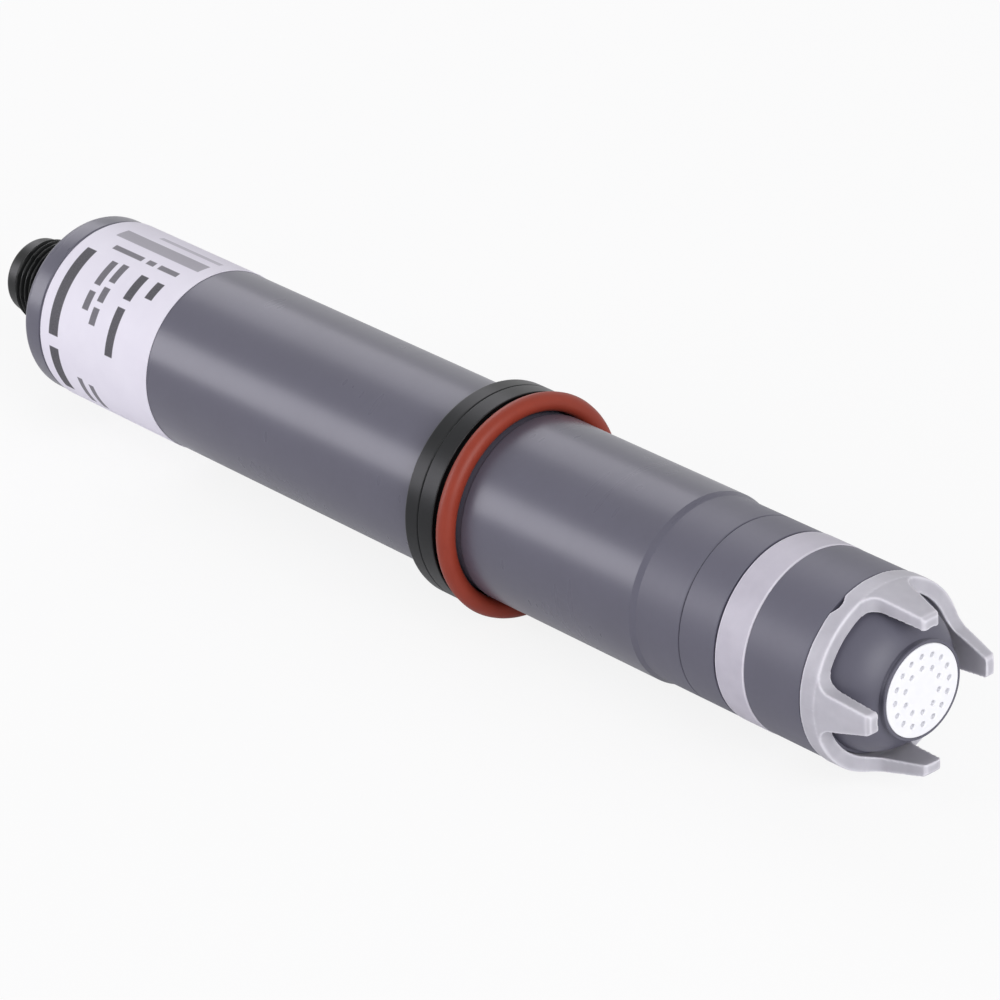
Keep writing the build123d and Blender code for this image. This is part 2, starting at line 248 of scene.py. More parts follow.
def shade(red, green, blue):
    """A colour as it shows on a screen, from 0 to 255, as the shader's values."""
    parts = [part / 255 for part in (red, green, blue)]
    return tuple(p / 12.92 if p < 0.04045 else ((p + 0.055) / 1.055) ** 2.4 for p in parts) + (1.0,)


def lifted(colour, gain, offset):
    """A paler colour of the same kind."""
    return tuple(min(1.0, part * gain + offset) for part in colour[:3]) + (1.0,)


# Finishes

# How strongly the surfaces bend light
PLASTIC_INDEX = 1.42
LAMINATE_INDEX = 1.5


def machined_plastic(name, dark, light, roughness, edges=(), matt_from=None, shine=0.5):
    """Turned plastic with faint tool rings, a mottled sheen, a rougher front part, and edges painted paler,
    partly as wear and partly as a painted highlight line.
    """
    pale_edge_half, pale_edge_soft = 0.12 * MM, 0.14 * MM
    far_front, matt_soft = 1.0, 0.3 * MM
    f = Finish(name)
    mottle = f.noise(9 * MM, 4.0)
    specks = f.noise(0.7 * MM, 0.5)
    tool = f.rings(1.4 * MM, 0.5)
    body = f.mix(f.clamped(mottle * 0.9 + specks * 0.25 - 0.1), dark, light)
    rub_glint_patches = f.noise(1.6 * MM, 3.0)
    wear_and_glint = None
    # Bands at the given edge stations are painted paler: partly wear, partly a painted highlight line along
    # the edge.
    for station in edges:
        near = f.between(f.x, station - pale_edge_half, station + pale_edge_half, pale_edge_soft)
        wear_and_glint = near if wear_and_glint is None else f.clamped(wear_and_glint + near)
    if wear_and_glint is not None:
        body = f.mix(wear_and_glint * f.clamped(rub_glint_patches * 1.6 - 0.3) * 0.75, body, lifted(light, 2.2, 0.05))
    smear = f.noise(8 * MM, 2.0, stretch=(0.35, 1.0, 1.0))
    coarse = roughness + 0.08 * (smear - 0.5) + 0.03 * (tool - 0.5)
    if matt_from is not None:
        coarse = coarse + 0.16 * f.between(f.x, matt_from, far_front, matt_soft)
    normal = f.bump(tool * 0.6 + specks * 0.4, 2 * UM)
    return f.surface(
        Base_Color=body, Roughness=coarse, Normal=normal, IOR=PLASTIC_INDEX, Specular_IOR_Level=shine
    )


def moulded_rubber(name, dark, light, roughness):
    """Rubber with a matt skin, a little bloom and fine pits, whose hollows are painted darker as painted
    shade.
    """
    f = Finish(name)
    bloom = f.noise(4 * MM, 4.0)
    skin = f.noise(0.12 * MM, 3.0)
    pits = f.cells(0.45 * MM)
    body = f.mix(f.clamped(bloom * 1.1 - 0.05), dark, light)
    # The pits' hollows are painted darker: painted shade.
    body = f.mix((pits < 0.12) * 0.35, body, dark)
    coarse = roughness + 0.16 * (bloom - 0.5) + 0.08 * (skin - 0.5)
    normal = f.bump(skin * 0.6 + f.clamped(pits * 3.0) * 0.4, 6 * UM)
    return f.surface(
        Base_Color=body, Roughness=coarse, Normal=normal, IOR=PLASTIC_INDEX, Specular_IOR_Level=0.4
    )


def milky_plastic(name, dark, light, roughness, soft):
    """Cloudy silicone or polyolefin with a slightly wavy skin, and its bent edges painted paler as a painted
    highlight.
    """
    f = Finish(name)
    cloud = f.noise(2.6 * MM, 4.0)
    skin = f.noise(0.28 * MM, 3.0)
    wave = f.noise(1.7 * MM, 2.0)
    body = f.mix(f.clamped(cloud * 1.2 - 0.1), dark, light)
    edge = f.node("ShaderNodeAttribute", {"attribute_name": EDGE}, {}, "Fac")
    # Bent edges are painted paler: a painted highlight where light would gather on the soft edges.
    body = f.mix(f.clamped(edge) * (0.55 + 0.5 * cloud), body, lifted(light, 1.25, 0.06))
    coarse = roughness + 0.18 * (cloud - 0.5) + 0.08 * (skin - 0.5)
    height = wave * 0.75 + skin * 0.25
    return f.surface(
        Base_Color=body,
        Roughness=coarse,
        Normal=f.bump(height, 30 * UM, 0.8),
        Subsurface_Weight=soft,
        Subsurface_Radius=(1.0, 0.9, 0.95),
        Subsurface_Scale=0.9 * MM,
        IOR=PLASTIC_INDEX,
    )


def bare_metal(name, dark, light, roughness):
    """Plated or drawn metal with fine scratches along it and a cloudy tarnish."""
    f = Finish(name)
    scratch = f.noise(0.25 * MM, 3.0, stretch=(0.12, 1.0, 1.0))
    cloud = f.noise(2.2 * MM, 3.0)
    body = f.mix(f.clamped(cloud * 1.2 - 0.1), dark, light)
    coarse = roughness + 0.15 * (cloud - 0.5) + 0.12 * (scratch - 0.5)
    return f.surface(Base_Color=body, Roughness=coarse, Metallic=1.0, Normal=f.bump(scratch, 2 * UM))


# The printed bars: first and last angle in degrees about the axis, rear and front end in millimetres
# from the label's rear edge, and how dark each is
PRINT_BARS = (
    (22.0, 83.0, 1.9, 3.9, 0.95),
    (91.0, 124.0, 1.9, 3.9, 0.95),
    (23.5, 42.0, 7.7, 9.0, 0.85),
    (46.5, 59.0, 7.7, 9.0, 0.85),
    (22.5, 37.0, 9.9, 11.2, 0.85),
    (41.0, 51.0, 9.9, 11.2, 0.85),
    (55.0, 66.0, 9.9, 11.2, 0.85),
    (24.0, 43.0, 14.2, 15.8, 0.95),
    (48.5, 80.0, 14.2, 15.8, 0.95),
    (24.0, 37.0, 17.7, 19.2, 0.95),
    (11.5, 15.5, 5.5, 11.8, 0.8),
    (11.5, 15.5, 12.8, 14.4, 0.8),
    (11.5, 15.5, 15.3, 19.3, 0.8),
    (-6.0, 4.0, 3.2, 21.0, 0.55),
    (-16.5, -12.5, 8.0, 21.0, 0.35),
    (106.0, 128.0, 7.0, 8.1, 0.8),
    (108.0, 130.0, 9.3, 10.4, 0.8),
)


def printed_film(name):
    """White film with grey printed bars and a dusting of fine fibres."""
    f = Finish(name)
    turn = f.angle() / DEG
    along = (f.x - rear_of("housing_label")) / MM
    ink = None
    for start, end, rear, front, weight in PRINT_BARS:
        bar = f.between(turn, start, end, 0.5) * f.between(along, rear, front, 0.1) * weight
        ink = bar if ink is None else ink + bar
    fibre = f.noise(0.2 * MM, 3.0)
    cloud = f.noise(6 * MM, 3.0)
    paper = f.mix(f.clamped(cloud), shade(224, 220, 232), shade(236, 233, 243))
    patchy = f.clamped(ink) * (0.94 + 0.12 * (fibre - 0.5))
    body = f.mix(patchy, paper, shade(24, 24, 28))
    coarse = 0.58 + 0.1 * (cloud - 0.5) + 0.06 * patchy
    normal = f.bump(fibre * 0.5 + patchy * 0.5, 3 * UM)
    return f.surface(
        Base_Color=body, Roughness=coarse, Normal=normal, IOR=PLASTIC_INDEX, Specular_IOR_Level=0.3
    )


def white_membrane(name):
    """White porous plastic with a fine fibrous skin."""
    f = Finish(name)
    fibre = f.noise(0.16 * MM, 4.0)
    cloud = f.noise(2.4 * MM, 3.0)
    body = f.mix(f.clamped(cloud), shade(232, 232, 238), shade(246, 246, 250))
    coarse = 0.5 + 0.12 * (fibre - 0.5)
    return f.surface(Base_Color=body, Roughness=coarse, Normal=f.bump(fibre, 8 * UM))


def board_laminate(name):
    """Green solder mask over copper tracks on glass laminate."""
    f = Finish(name)
    weave = f.node(
        "ShaderNodeTexBrick",
        {"offset": 0.5, "squash": 1.0},
        {
            "Vector": f.place,
            "Scale": 1.0 / (2.2 * MM),
            "Mortar Size": 0.035,
            "Brick Width": 1.6,
            "Row Height": 0.42,
        },
        "Fac",
    )
    glass = f.noise(0.4 * MM, 2.0, stretch=(1.0, 0.3, 1.0))
    mask = f.mix(f.clamped(glass), shade(16, 70, 44), shade(22, 92, 56))
    body = f.mix(weave * 0.6, mask, shade(58, 132, 78))
    coarse = 0.34 + 0.12 * (glass - 0.5)
    normal = f.bump(weave * 0.8 + glass * 0.2, 20 * UM)
    return f.surface(Base_Color=body, Roughness=coarse, Normal=normal, IOR=LAMINATE_INDEX)


def cast_epoxy(name, base):
    """The dark moulded body of a chip or module, with the grain of its filler."""
    f = Finish(name)
    grain = f.noise(0.1 * MM, 3.0)
    cloud = f.noise(3 * MM, 2.0)
    body = f.mix(f.clamped(cloud * 0.7 + grain * 0.3), base, lifted(base, 1.6, 0.004))
    return f.surface(Base_Color=body, Roughness=0.6 + 0.2 * (grain - 0.5), Normal=f.bump(grain, 10 * UM))


# Outlines and turned meshes


def soften(corners, steps=4):
    """The outline through (station, radius, round) corners, with an arc at each and points to hold it."""
    most, hold, room = 0.45, 1.35, 4
    outline = []
    count = len(corners)
    for index, (x, r, size) in enumerate(corners):
        here = Vector((x, r))
        if size == 0:
            outline.append((x, r))
            continue
        back = Vector(corners[index - 1][:2]) - here
        ahead = Vector(corners[(index + 1) % count][:2]) - here
        half = back.angle(ahead) / 2
        reach = min(size / math.tan(half), most * back.length, most * ahead.length)
        back_way, ahead_way = back.normalized(), ahead.normalized()
        middle = here + (back_way + ahead_way).normalized() * (reach / math.cos(half))
        first, last = here + back_way * reach - middle, here + ahead_way * reach - middle
        if back.length > room * reach:
            outline.append(tuple(here + back_way * reach * hold))
        start = math.atan2(first.y, first.x)
        sweep = (math.atan2(last.y, last.x) - start + math.pi) % (2 * math.pi) - math.pi
        for step in range(steps + 1):
            turn = start + sweep * step / steps
            outline.append(tuple(middle + first.length * Vector((math.cos(turn), math.sin(turn)))))
        if ahead.length > room * reach:
            outline.append(tuple(here + ahead_way * reach * hold))
    return outline


def about(x, r, angle):
    """A point in the frame from its station, radius and angle."""
    return Vector((x, -r * math.sin(angle), r * math.cos(angle)))


def solid_of(name, mesh, crease=CREASE):
    """A new object from a bmesh, closed, facing outwards and smooth but for its creases."""
    bmesh.ops.remove_doubles(mesh, verts=mesh.verts, dist=WELD)
    bmesh.ops.recalc_face_normals(mesh, faces=mesh.faces)
    data = bpy.data.meshes.new(name)
    mesh.to_mesh(data)
    mesh.free()
    smooth(data, crease)
    piece = bpy.data.objects.new(name, data)
    bpy.context.scene.collection.objects.link(piece)
    return piece


def smooth(data, crease):
    """Smooth shading that breaks where faces meet at more than the crease's degrees."""
    data.shade_smooth()
    data.set_sharp_from_angle(angle=crease * DEG)


def lofted(name, mesh, sections):
    """A closed object through rings of points, each with as many as the next."""
    for here, there in zip(sections, sections[1:]):
        for index in range(len(here)):
            following = (index + 1) % len(here)
            mesh.faces.new((here[index], here[following], there[following], there[index]))
    mesh.faces.new(sections[0])
    mesh.faces.new(sections[-1])
    return solid_of(name, mesh)


def turned(name, outline, shape=None, split=None, turns=TURNS, crease=CREASE):
    """An outline turned about the axis, with its points moved by shape and the arc of split left out."""
    closed = not (outline[0][1] == 0 and outline[-1][1] == 0)
    start, end = (0.0, 2 * math.pi) if split is None else (split[1], split[0] + 2 * math.pi)
    rows = turns if split is None else turns + 1
    mesh = bmesh.new()
    grid = []
    for row in range(rows):
        angle = start + (end - start) * row / turns
        points = [shape(x, r, angle) if shape else (x, r) for x, r in outline]
        grid.append([mesh.verts.new(about(x, r, angle)) for x, r in points])
    count = len(outline)
    for row in range(turns):
        here, there = grid[row], grid[(row + 1) % rows]
        for index in range(count if closed else count - 1):
            following = (index + 1) % count
            mesh.faces.new((here[index], here[following], there[following], there[index]))
    if split is not None:
        mesh.faces.new(grid[0])
        mesh.faces.new(grid[-1])
    return solid_of(name, mesh, crease)


def thread_shape(rear, front, pitch, crest, root):
    """Moves an outline's points between two stations into a screw thread that fades at both ends."""
    slack = 1e-9
    valley, flank_share, run_out = 0.18, 0.66, 0.6 * pitch

    def shape(x, r, angle):
        if not rear - slack <= x <= front + slack or r < root - slack:
            return x, r
        phase = ((x - rear) / pitch - angle / (2 * math.pi)) % 1.0
        flank = 1.0 - abs(2.0 * phase - 1.0)
        ridge = min(1.0, max(0.0, (flank - valley) / flank_share))
        fade = min(1.0, (x - rear) / run_out, (front - x) / run_out)
        return x, root + (crest - root) * ridge * max(0.0, fade)

    return shape


def steps_between(rear, front, radius, pitch, per_pitch=12):
    """Outline points close enough together to carry a thread."""
    count = max(2, round((front - rear) / pitch * per_pitch))
    return [(rear + (front - rear) * step / count, radius) for step in range(count + 1)]


def dress(piece, finish, body, slot, *nodes):
    """Gives a piece its finish and its body, and puts it in place of its nodes. The slot is not used."""
    piece.data.materials.clear()
    piece.data.materials.append(finish)
    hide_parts(*nodes)
    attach(piece, body)


def paint(finish, *nodes):
    """A finish for nodes that show as they are."""
    for node in nodes:
        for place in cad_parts[node].material_slots:
            place.material = finish


# Shapes by rule


class Rule(Board):
    """A geometry tree with named inputs, run once as a modifier and kept as a plain mesh."""

    def __init__(self, name):
        super().__init__(bpy.data.node_groups.new(name, "GeometryNodeTree"))
        self.values = {}
        self.declare("Geometry", "NodeSocketGeometry")
        self.tree.interface.new_socket("Geometry", in_out="OUTPUT", socket_type="NodeSocketGeometry")
        self.inlet = None

    def declare(self, name, kind, value=None):
        """A named input with its value."""
        made = self.tree.interface.new_socket(name, in_out="INPUT", socket_type=kind)
        if value is not None:
            self.values[made.identifier] = value

    def size(self, name, value):
        """A named size in metres, radians or as a plain number."""
        self.declare(name, "NodeSocketInt" if isinstance(value, int) else "NodeSocketFloat", value)

    def take(self, name):
        """The wire of a named input."""
        if self.inlet is None:
            self.inlet = self.tree.nodes.new("NodeGroupInput")
        return Wire(self, self.inlet.outputs[name])

    def shape_of(self, name):
        """The shape of the object in a named input."""
        return self.node("GeometryNodeObjectInfo", {}, {"Object": self.take(name)}, "Geometry")

    def ring_of(self, shape, count, radius=0.0):
        """Copies of a shape round the axis, each turned to face away from it."""
        index = self.node("GeometryNodeInputIndex")
        angle = index * (2 * math.pi) / count
        place = self.node(
            "ShaderNodeCombineXYZ",
            {},
            {"Y": self.maths("SINE", angle) * radius * -1.0, "Z": self.maths("COSINE", angle) * radius},
        )
        points = self.node("GeometryNodePoints", {}, {"Count": count, "Position": place})
        rotation = self.node("ShaderNodeCombineXYZ", {}, {"X": angle})
        return self.node(
            "GeometryNodeInstanceOnPoints", {}, {"Points": points, "Instance": shape, "Rotation": rotation}
        )

    def real(self, geometry):
        """Copies made into geometry of their own."""
        return self.node("GeometryNodeRealizeInstances", {}, {"Geometry": geometry})

    def joined(self, *geometries):
        """Several geometries as one."""
        return self.node("GeometryNodeJoinGeometry", {}, {"Geometry": list(geometries)})

    def cut(self, body, cutter):
        """A body less what cuts it."""
        settings = {"operation": "DIFFERENCE", "solver": "EXACT"}
        return self.node("GeometryNodeMeshBoolean", settings, {0: body, 1: cutter}, "Mesh")

    def run(self, piece, geometry, finish, crease=CREASE):
        """The piece with the tree's result as its own mesh."""
        self.declare("Finish", "NodeSocketMaterial", finish)
        sockets = {"Geometry": self.real(geometry), "Material": self.take("Finish")}
        painted = self.node("GeometryNodeSetMaterial", {}, sockets)
        outlet = self.tree.nodes.new("NodeGroupOutput")
        self.tree.links.new(painted.socket, outlet.inputs[0])
        modifier = piece.modifiers.new(self.tree.name, "NODES")
        modifier.node_group = self.tree
        for identifier, value in self.values.items():
            modifier[identifier] = value
        return settled(piece, crease)


def settled(piece, crease=CREASE):
    """The piece with its modifiers' result as its own mesh."""
    graph = bpy.context.evaluated_depsgraph_get()
    graph.update()
    data = bpy.data.meshes.new_from_object(piece.evaluated_get(graph))
    piece.modifiers.clear()
    data.name = piece.name
    piece.data = data
    smooth(data, crease)
    return piece


def skin_of(data):
    """A mesh's points and their normals."""
    points = np.empty(len(data.vertices) * 3)
    normals = np.empty(len(data.vertices) * 3)
    data.vertices.foreach_get("co", points)
    data.vertices.foreach_get("normal", normals)
    return points.reshape(-1, 3), normals.reshape(-1, 3)


def mark_edges(piece, radius):
    """Marks a piece's skin from 0, flat or hollow, to 1 where it bends as tightly as that radius."""
    data = piece.data
    shortest = 1e-12
    points, normals = skin_of(data)
    ends = np.empty(len(data.edges) * 2, dtype=int)
    data.edges.foreach_get("vertices", ends)
    ends = ends.reshape(-1, 2)
    step = points[ends[:, 1]] - points[ends[:, 0]]
    turn = normals[ends[:, 1]] - normals[ends[:, 0]]
    bend = (step * turn).sum(axis=1) / np.maximum((step * step).sum(axis=1), shortest)
    share = np.zeros(len(points))
    count = np.zeros(len(points))
    for column in (0, 1):
        np.add.at(share, ends[:, column], bend)
        np.add.at(count, ends[:, column], 1)
    share = np.clip(share / np.maximum(count, 1) * radius * 2, 0, 1)
    edge = data.attributes.new(EDGE, "FLOAT", "POINT")
    edge.data.foreach_set("value", share)


def ripple(piece, depth, length):
    """Slight waves on a soft moulding's skin, within its own bounds."""
    points, normals = skin_of(piece.data)
    waves = np.array([noise.noise(Vector(point) / length) - 1.0 for point in points])
    moved = points + normals * (waves * depth / 2)[:, None]
    piece.data.vertices.foreach_set("co", moved.ravel())
    piece.data.update()


def put_away(*pieces):
    """Takes pattern pieces out of the scene once their copies are made."""
    for piece in pieces:
        bpy.data.objects.remove(piece)


# The finishes in use
# The housing's rear edge is painted paler, partly as wear and partly as a painted highlight line.
grey_pvc = machined_plastic(
    "grey_pvc", shade(89, 88, 101), shade(97, 96, 110), 0.29, (housing_rear,), shoulder_rear
)
# The clamp ring's rear edge and the slip ring's front edge are painted paler, partly as wear and partly as
# painted highlight lines.
collar_plastic = machined_plastic(
    "collar_plastic",
    shade(25, 26, 27),
    shade(33, 34, 36),
    0.34,
    (rear_of("clamp_ring") + 0.1 * MM, front_of("slip_ring") - 0.5 * MM),
    shine=0.24,
)
plug_plastic = machined_plastic("plug_plastic", shade(20, 21, 21), shade(28, 30, 30), 0.36, shine=0.35)
seal_rubber = moulded_rubber("seal_rubber", shade(130, 45, 30), shade(148, 58, 40), 0.46)
black_rubber = moulded_rubber("black_rubber", shade(20, 20, 21), shade(34, 34, 35), 0.6)
band_silicone = milky_plastic("band_silicone", shade(176, 172, 184), shade(192, 188, 199), 0.46, 0.25)
guard_plastic = milky_plastic("guard_plastic", shade(174, 172, 181), shade(193, 191, 199), 0.42, 0.35)
label_film = printed_film("label_film")
membrane_white = white_membrane("membrane_white")
gold_plate = bare_metal("gold_plate", shade(196, 150, 70), shade(226, 184, 100), 0.26)
copper_wire = bare_metal("copper_wire", shade(168, 96, 60), shade(204, 128, 86), 0.3)
silver_sleeve = bare_metal("silver_sleeve", shade(140, 138, 134), shade(196, 194, 190), 0.38)
can_metal = bare_metal("can_metal", shade(150, 152, 156), shade(190, 192, 196), 0.36)
laminate = board_laminate("laminate")
chip_epoxy = cast_epoxy("chip_epoxy", shade(34, 34, 36))


# Plug: nose, thread and mouth
plug_rear, shell_front = rear_of("connector_shell"), front_of("connector_shell")
end_cap_rear = rear_of("end_cap")
nose_radius = 5.4 * MM
nose_length = 2.1 * MM
nose_round = 0.7 * MM
mouth_radius = 4.25 * MM
mouth_round = 0.25 * MM
thread_radius = 6.0 * MM
thread_root = 5.22 * MM
thread_pitch = 1.0 * MM
thread_rear = plug_rear + nose_length + 0.15 * MM
thread_front = end_cap_rear - 0.4 * MM
barrel_radius = thread_radius - 0.25 * MM
barrel_rear = end_cap_rear + 0.3 * MM
inner_flange_rear = shell_front - 1.5 * MM
flange_radius = radius_of("connector_shell")
thread_step = 0.05 * MM

nose = [
    (plug_rear, mouth_radius, mouth_round),
    (plug_rear, nose_radius, nose_round),
    (plug_rear + nose_length, nose_radius, thread_step),
    (plug_rear + nose_length + thread_step, thread_root, 0),
]
thread_steps = steps_between(thread_rear, thread_front, thread_root, thread_pitch)
barrel = [
    (thread_front + thread_step, thread_root, 0),
    (barrel_rear - 0.1 * MM, thread_root, 0),
    (barrel_rear, barrel_radius, 0),
    (inner_flange_rear, barrel_radius, 0),
    (inner_flange_rear, flange_radius, soft_edge),
    (shell_front, flange_radius, soft_edge),
    (shell_front, mouth_radius, soft_edge),
]
shell = turned(
    "plug_shell",
    soften(nose + [(x, r, 0) for x, r in thread_steps] + barrel),
    thread_shape(thread_rear, thread_front, thread_pitch, thread_radius, thread_root),
    crease=THREAD_CREASE,
)

# The key in the plug's mouth
key_rear = plug_rear + 1.4 * MM
key_front = rear_of("connector_insert")
key_width = 1.2 * MM
key_mesh = bmesh.new()
key_place = Vector(((key_rear + key_front) / 2, 0, mouth_radius))
key_size = Vector((key_front - key_rear, key_width, key_width))
bmesh.ops.create_cube(key_mesh, size=1.0, matrix=Matrix.LocRotScale(key_place, None, key_size))
bmesh.ops.bevel(key_mesh, geom=list(key_mesh.edges), offset=soft_edge, segments=2, affect="EDGES")
key = solid_of("key_pattern", key_mesh)
weld = shell.modifiers.new("key", "BOOLEAN")
weld.operation = "UNION"
weld.solver = "EXACT"
weld.object = key
shell = settled(shell, THREAD_CREASE)
put_away(key)
dress(shell, plug_plastic, "shaft_assembly", "black_plastic", "connector_shell")

# Contact insert: a rim round a recessed face
insert_rear, insert_front = rear_of("connector_insert"), front_of("connector_insert")
insert_radius = radius_of("connector_insert")
face_recess = 0.25 * MM
rim_width = 0.45 * MM
rim_slope = 0.1 * MM
insert = turned(
    "plug_insert",
    soften(
        [
            (insert_rear + face_recess, 0, 0),
            (insert_rear + face_recess, insert_radius - rim_width - rim_slope, fine_edge),
            (insert_rear, insert_radius - rim_width, fine_edge),
            (insert_rear, insert_radius, soft_edge),
            (insert_front, insert_radius, soft_edge),
            (insert_front, 0, 0),
        ]
    ),
    turns=SMALL_TURNS,
)
dress(insert, plug_plastic, "shaft_assembly", "black_plastic", "connector_insert")

# End cap: flange, spigot with a seal groove, and a pocket for the plug's seal
end_cap_front = front_of("end_cap")
spigot_radius = housing_bore - press_gap
end_bore = barrel_radius + press_gap
end_bore_edge = 0.3 * MM
end_round = 1.1 * MM
flange_front = housing_rear - seam_gap
groove_front = end_cap_front - 4.0 * MM
groove_rear = groove_front - seal_section - 2 * seat_gap
groove_floor = spigot_radius - seal_section - seat_gap
seal_pocket_radius = barrel_radius + seal_section + 2 * seat_gap
seal_pocket_floor = end_cap_front - seal_section - 2 * seat_gap
end_cap = turned(
    "end_cap_turned",
    soften(
        [
            (end_cap_rear, end_bore, end_bore_edge),
            (end_cap_rear, shaft_radius, end_round),
            (flange_front, shaft_radius, seam_edge),
            (flange_front, spigot_radius, 0),
            (groove_rear, spigot_radius, fine_edge),
            (groove_rear, groove_floor, fine_edge),
            (groove_front, groove_floor, fine_edge),
            (groove_front, spigot_radius, fine_edge),
            (end_cap_front, spigot_radius, soft_edge),
            (end_cap_front, seal_pocket_radius, fine_edge),
            (seal_pocket_floor, seal_pocket_radius, fine_edge),
            (seal_pocket_floor, end_bore, 0),
        ],
        steps=6,
    ),
)
dress(end_cap, grey_pvc, "shaft_assembly", "grey_pvc", "end_cap")

# Housing: shaft, groove for the clamp ring, seat for the rings, shoulder and neck
clamp_rear, clamp_front = rear_of("clamp_ring"), front_of("clamp_ring")
slip_rear, slip_front = rear_of("slip_ring"), front_of("slip_ring")
ring_groove_floor = shaft_radius - 1.2 * MM
ring_groove_rear, ring_groove_front = clamp_rear + 0.5 * MM, clamp_front - 0.5 * MM
ring_seat_radius = shaft_radius - 0.2 * MM
ring_seat_front = 0.0
shoulder_length = 0.8 * MM
shoulder_round = 0.25 * MM
housing = turned(
    "housing_turned",
    soften(
        [
            (housing_rear, housing_bore, fine_edge),
            (housing_rear, shaft_radius, seam_edge),
            (ring_groove_rear, shaft_radius, fine_edge),
            (ring_groove_rear, ring_groove_floor, fine_edge),
            (ring_groove_front, ring_groove_floor, fine_edge),
            (ring_groove_front, shaft_radius, fine_edge),
            (slip_rear, shaft_radius, 0),
            (slip_rear, ring_seat_radius, 0),
            (ring_seat_front, ring_seat_radius, 0),
            (ring_seat_front, shaft_radius, fine_edge),
            (shoulder_rear - shoulder_length, shaft_radius, shoulder_round),
            (shoulder_rear, neck_radius, shoulder_round),
            (housing_front, neck_radius, rim_edge),
            (housing_front, housing_bore, fine_edge),
        ]
    ),
)
dress(housing, grey_pvc, "shaft_assembly", "grey_pvc", "housing")

# Label: a film whose ends don't quite meet on the underside
label_rear, label_front = rear_of("housing_label"), front_of("housing_label")
label_bore, label_radius = shaft_radius + press_gap, radius_of("housing_label")
film_edge = 0.03 * MM
label = turned(
    "label_film",
    soften(
        [
            (label_rear, label_bore, 0),
            (label_rear, label_radius, film_edge),
            (label_front, label_radius, film_edge),
            (label_front, label_bore, 0),
        ]
    ),
    split=(236 * DEG, 238.5 * DEG),
)
dress(label, label_film, "shaft_assembly", "white_film", "housing_label")

# Collar: split clamp ring, slip ring and seat seal
clamp_bore = shaft_radius + seat_gap
lip_bore = ring_groove_floor + seat_gap
lip_rear, lip_front = ring_groove_rear + seat_gap, ring_groove_front - seat_gap
ring_round = 0.3 * MM
joint_round = 0.16 * MM
clamp = turned(
    "clamp_ring_split",
    soften(
        [
            (clamp_rear, clamp_bore, fine_edge),
            (clamp_rear, collar_radius, ring_round),
            (clamp_front, collar_radius, joint_round),
            (clamp_front, clamp_bore, fine_edge),
            (lip_front, clamp_bore, 0),
            (lip_front, lip_bore, fine_edge),
            (lip_rear, lip_bore, fine_edge),
            (lip_rear, clamp_bore, 0),
        ]
    ),
    split=(221 * DEG, 229 * DEG),
)
dress(clamp, collar_plastic, "shaft_assembly", "dark_ring", "clamp_ring")

slip_bore = shaft_radius + 0.06 * MM
hollow_rim = slip_front - 0.5 * MM
hollow_floor = slip_front - 1.2 * MM
hollow_outer = collar_radius - 0.8 * MM
hollow_inner = collar_radius - 1.3 * MM
hollow_edge = 0.1 * MM
slip = turned(
    "slip_ring_turned",
    soften(
        [
            (slip_rear, slip_bore, soft_edge),
            (slip_rear, collar_radius, joint_round),
            (hollow_rim, collar_radius, hollow_edge),
            (hollow_floor, hollow_outer, fine_edge),
            (hollow_floor, hollow_inner, fine_edge),
            (slip_front, hollow_inner, fine_edge),
            (slip_front, slip_bore, fine_edge),
        ]
    ),
)
dress(slip, collar_plastic, "slip_ring", "dark_ring", "slip_ring")


def seal_outline(middle, circle, section, line=0.03 * MM, line_width=0.08, count=40):
    """A round section with the thin raised line that a two-part mould leaves inside and outside."""
    points = []
    for index in range(count):
        turn = 2 * math.pi * index / count
        ridge = line * max(0.0, 1.0 - abs(math.cos(turn)) / line_width)
        reach = section - line + ridge
        points.append((middle + section * math.cos(turn), circle + reach * math.sin(turn)))
    return points


seal_rear, seal_front = rear_of("seat_seal"), front_of("seat_seal")
seal_half = (seal_front - seal_rear) / 2
seat_seal = turned(
    "seat_seal_ring",
    seal_outline((seal_front + seal_rear) / 2, radius_of("seat_seal") - seal_half, seal_half),
    turns=FINE_TURNS,
    crease=SOFT_CREASE,
)
dress(seat_seal, seal_rubber, "seal_slider", "red_rubber", "seat_seal")

# Membrane cap: mouth, band groove, guard's seat, cone, tip with its lip, and the chamber
mouth_rear, tip_front = rear_of("membrane_cap"), front_of("membrane_cap")
band_rear, band_front = rear_of("vent_band"), front_of("vent_band")
band_radius = radius_of("vent_band")
band_floor = band_radius - 1.0 * MM
band_groove_rear, band_groove_front = band_rear - 0.3 * MM, band_front + seat_gap
band_groove_edge = 0.08 * MM
guard_rear, guard_front = rear_of("membrane_guard"), 62.8 * MM
guard_seat_radius = 10.2 * MM
guard_step = guard_rear - seam_gap
guard_seat_front = guard_step + 1.8 * MM
cone_rear_radius = guard_seat_radius - 0.35 * MM
cone_front = tip_front - 1.1 * MM
cone_bulge = 0.55 * MM
tip_neck_radius = 6.15 * MM
lip_rear = tip_front - 0.5 * MM
lip_slope = 0.2 * MM
lip_radius = 6.35 * MM
lip_edge = 0.1 * MM
tip_neck_round = 0.2 * MM
disc_seat_edge = 0.05 * MM
disc_seat = radius_of("membrane_cover") + seat_gap
stack_rear = rear_of("membrane_gasket")
port_radius = disc_seat - 1.0 * MM
port_rear = stack_rear - 1.6 * MM
chamber_front = guard_step - 3.2 * MM
chamber_radius = 9.06 * MM
mouth_pocket_radius = 11.0 * MM
mouth_pocket_front = mouth_rear + 2.1 * MM


def cone_points(count=14):
    """The convex cone between the guard's seat and the tip's neck, on an arc through three points."""
    first, last = Vector((guard_seat_front, cone_rear_radius)), Vector((cone_front, tip_neck_radius))
    middle = (first + last) / 2 + Vector((cone_bulge, cone_bulge))
    points = []
    for step in range(count + 1):
        t = step / count
        point = first * (1 - t) * (1 - 2 * t) + middle * 4 * t * (1 - t) + last * t * (2 * t - 1)
        points.append((point.x, point.y, 0))
    return points


